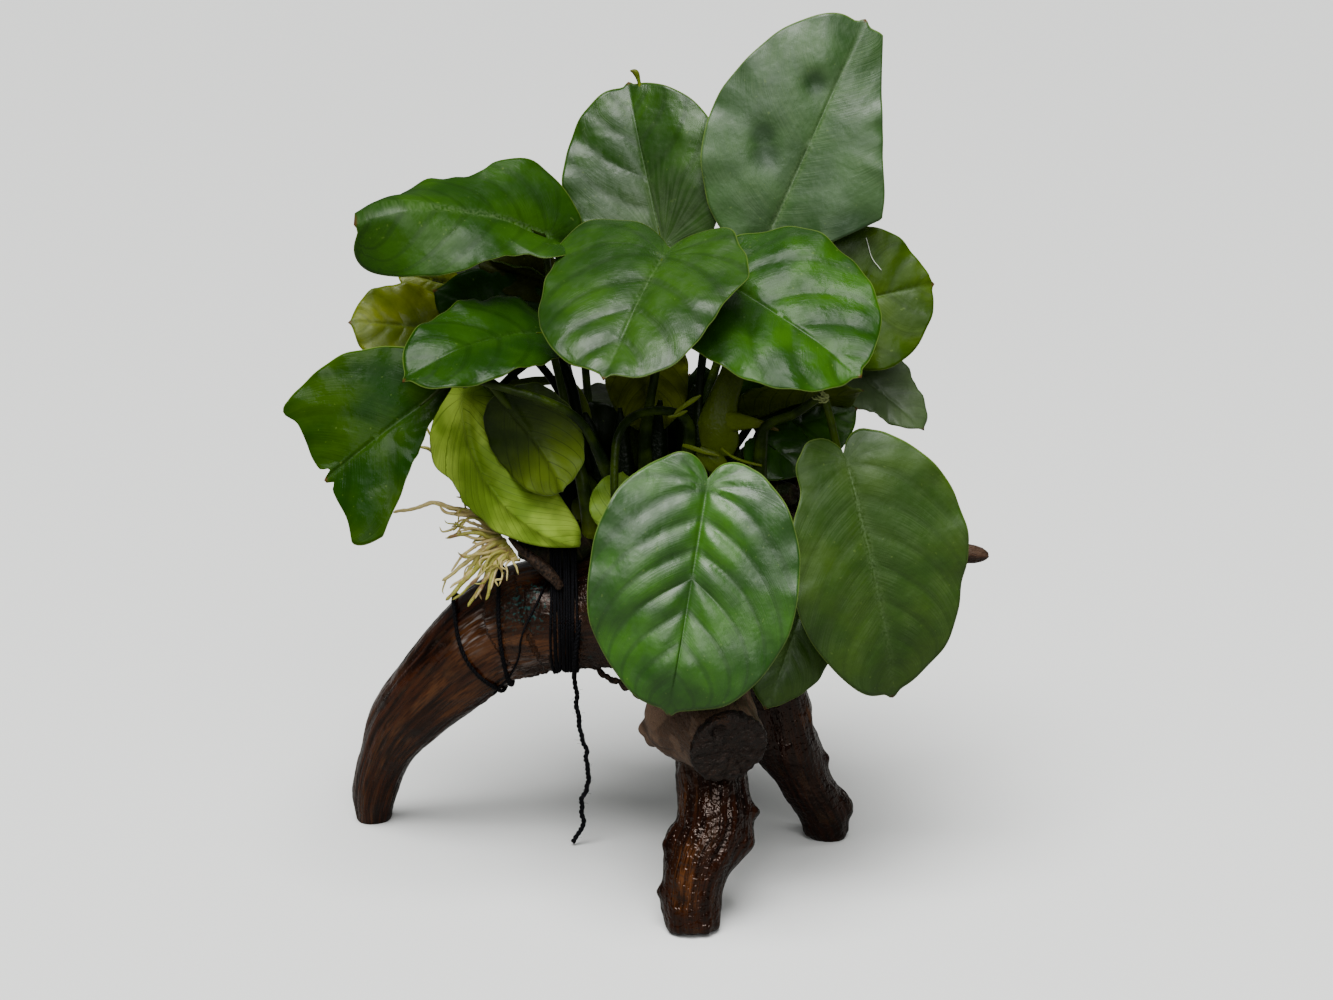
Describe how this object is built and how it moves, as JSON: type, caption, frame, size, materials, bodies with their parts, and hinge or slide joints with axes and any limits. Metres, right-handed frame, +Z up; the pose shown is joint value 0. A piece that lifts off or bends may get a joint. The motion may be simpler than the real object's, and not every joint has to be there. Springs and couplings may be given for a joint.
{
  "type": "water plant on driftwood",
  "caption": "Creeping water plant with heart-shaped leaves on arching stalks, its rhizome tied with thread to driftwood that stands on three legs.",
  "frame": {"origin": "on the surface that the three feet stand on, under the middle of the object's box", "axes": "+Z up; the viewer of the front leaves stands at -Y; the long curved leg is towards -X"},
  "size_m": [0.1783, 0.1274, 0.2196],
  "materials": {
    "driftwood": "wet, near-black to reddish brown, with lengthwise grain",
    "leaf": "waxy dark green with broad soft highlights",
    "stalk": "smooth yellow-green",
    "rhizome": "green-brown, ringed, fibrous",
    "root": "pale yellow, thin skinned",
    "thread": "black twisted cotton"
  },
  "bodies": {
    "root": {"driftwood_crown": "driftwood", "driftwood_left_arm": "driftwood", "driftwood_front_stub": "driftwood", "driftwood_front_leg": "driftwood", "driftwood_right_leg": "driftwood", "driftwood_side_twig": "driftwood", "rhizome": "rhizome", "root_long": "root", "root_rising": "root", "root_tuft": "root", "thread_band": "thread", "thread_loop_a": "thread", "thread_loop_b": "thread", "thread_tail": "thread", "leaf_top_right": "leaf", "leaf_top_middle": "leaf", "leaf_middle": "leaf", "leaf_middle_right": "leaf", "leaf_top_left": "leaf", "leaf_middle_left": "leaf", "leaf_far_left": "leaf", "leaf_hanging_left": "leaf", "leaf_inner_left": "leaf", "leaf_pale_left": "leaf", "leaf_right": "leaf", "leaf_low_right": "leaf", "leaf_front": "leaf", "leaf_front_right": "leaf", "leaf_low_front": "leaf", "leaf_young_front": "leaf", "leaf_shaded_right": "leaf", "leaf_shaded_low": "leaf", "leaf_inner_middle": "leaf", "leaf_back_left": "leaf", "leaf_back_middle": "leaf", "leaf_back_right": "leaf", "leaf_back_low": "leaf", "stalk_top_right": "stalk", "stalk_top_middle": "stalk", "stalk_middle": "stalk", "stalk_middle_right": "stalk", "stalk_top_left": "stalk", "stalk_middle_left": "stalk", "stalk_far_left": "stalk", "stalk_hanging_left": "stalk", "stalk_inner_left": "stalk", "stalk_pale_left": "stalk", "stalk_right": "stalk", "stalk_low_right": "stalk", "stalk_front": "stalk", "stalk_front_right": "stalk", "stalk_low_front": "stalk", "stalk_young_front": "stalk", "stalk_shaded_right": "stalk", "stalk_shaded_low": "stalk", "stalk_inner_middle": "stalk", "stalk_back_left": "stalk", "stalk_back_middle": "stalk", "stalk_back_right": "stalk", "stalk_back_low": "stalk"}
  },
  "joints": []
}
